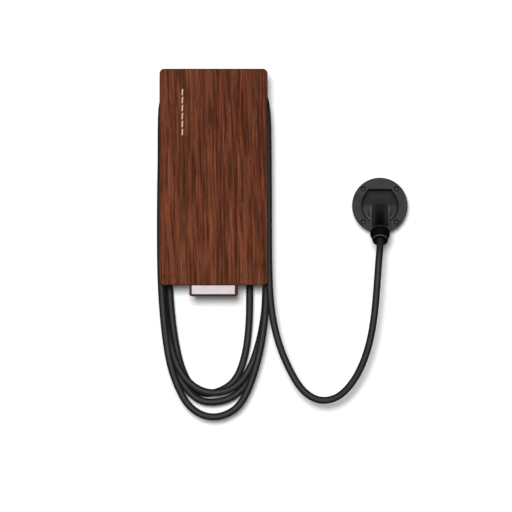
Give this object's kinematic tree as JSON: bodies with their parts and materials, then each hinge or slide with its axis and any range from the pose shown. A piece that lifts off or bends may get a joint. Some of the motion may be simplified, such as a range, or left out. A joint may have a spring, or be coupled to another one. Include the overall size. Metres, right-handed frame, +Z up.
{
  "type": "ev wallbox",
  "caption": "Wall-hung charger for electric cars with a walnut front, wound charging cable, angled connector and round wall holder for the connector.",
  "frame": {"origin": "on the wall plane, behind the middle of the wooden front panel", "axes": "+X to the viewer's right, +Y into the wall, +Z up; the front faces -Y"},
  "size_m": [0.4454, 0.1723, 0.6222],
  "materials": {
    "walnut": "satin oiled",
    "black_plastic": "fine grain",
    "grip_plastic": "soft",
    "grey_plastic": "plain",
    "light_plastic": "milky",
    "badge_metal": "fine blasted",
    "tab_wood": "satin oiled",
    "bracket_steel": "zinc plated",
    "screw_steel": "blackened",
    "bright_screw": "zinc plated",
    "seal_rubber": "matte",
    "cable_rubber": "satin",
    "board_green": "lacquered",
    "relay_plastic": "plain",
    "copper_wire": "plain",
    "contact_silver": "silver plated"
  },
  "bodies": {
    "wallbox": {"rear_housing": "black_plastic", "housing_gasket": "seal_rubber", "service_cover": "black_plastic", "cover_screws": "bright_screw", "wall_bracket": "bracket_steel", "lock_screw": "bright_screw", "main_board": "board_green", "board_screws": "bright_screw", "power_relays": "relay_plastic", "supply_terminals": "grey_plastic", "output_terminals": "grey_plastic", "terminal_screws": "bright_screw", "leakage_sensor": "relay_plastic", "power_supply": "relay_plastic", "control_module": "bracket_steel", "led_board": "board_green", "led_lamps": "light_plastic", "light_guide": "light_plastic", "cable_gland_body": "black_plastic", "cable_gland_seal": "seal_rubber", "cable_gland_nut": "black_plastic", "supply_gland_body": "black_plastic", "supply_gland_seal": "seal_rubber", "supply_gland_nut": "black_plastic", "supply_gland_locknut": "black_plastic", "output_wires": "copper_wire", "cable_lead": "cable_rubber", "cable_coil": "cable_rubber", "cable_tail": "cable_rubber", "holder_body": "black_plastic", "holder_screws": "screw_steel", "connector_housing": "black_plastic", "connector_grip": "grip_plastic", "contact_carrier": "black_plastic", "contacts": "contact_silver", "connector_nut": "grip_plastic", "connector_clamp": "seal_rubber"},
    "front": {"front_panel": "walnut", "panel_frame": "black_plastic", "panel_screws": "bright_screw", "light_diffuser": "light_plastic", "badge_tab": "tab_wood", "badge_plate": "badge_metal"}
  },
  "joints": [
    {"name": "front_pull_off", "type": "slide", "parent": "wallbox", "child": "front", "axis": [0, -1, 0], "range_m": [0, 0.04]}
  ]
}
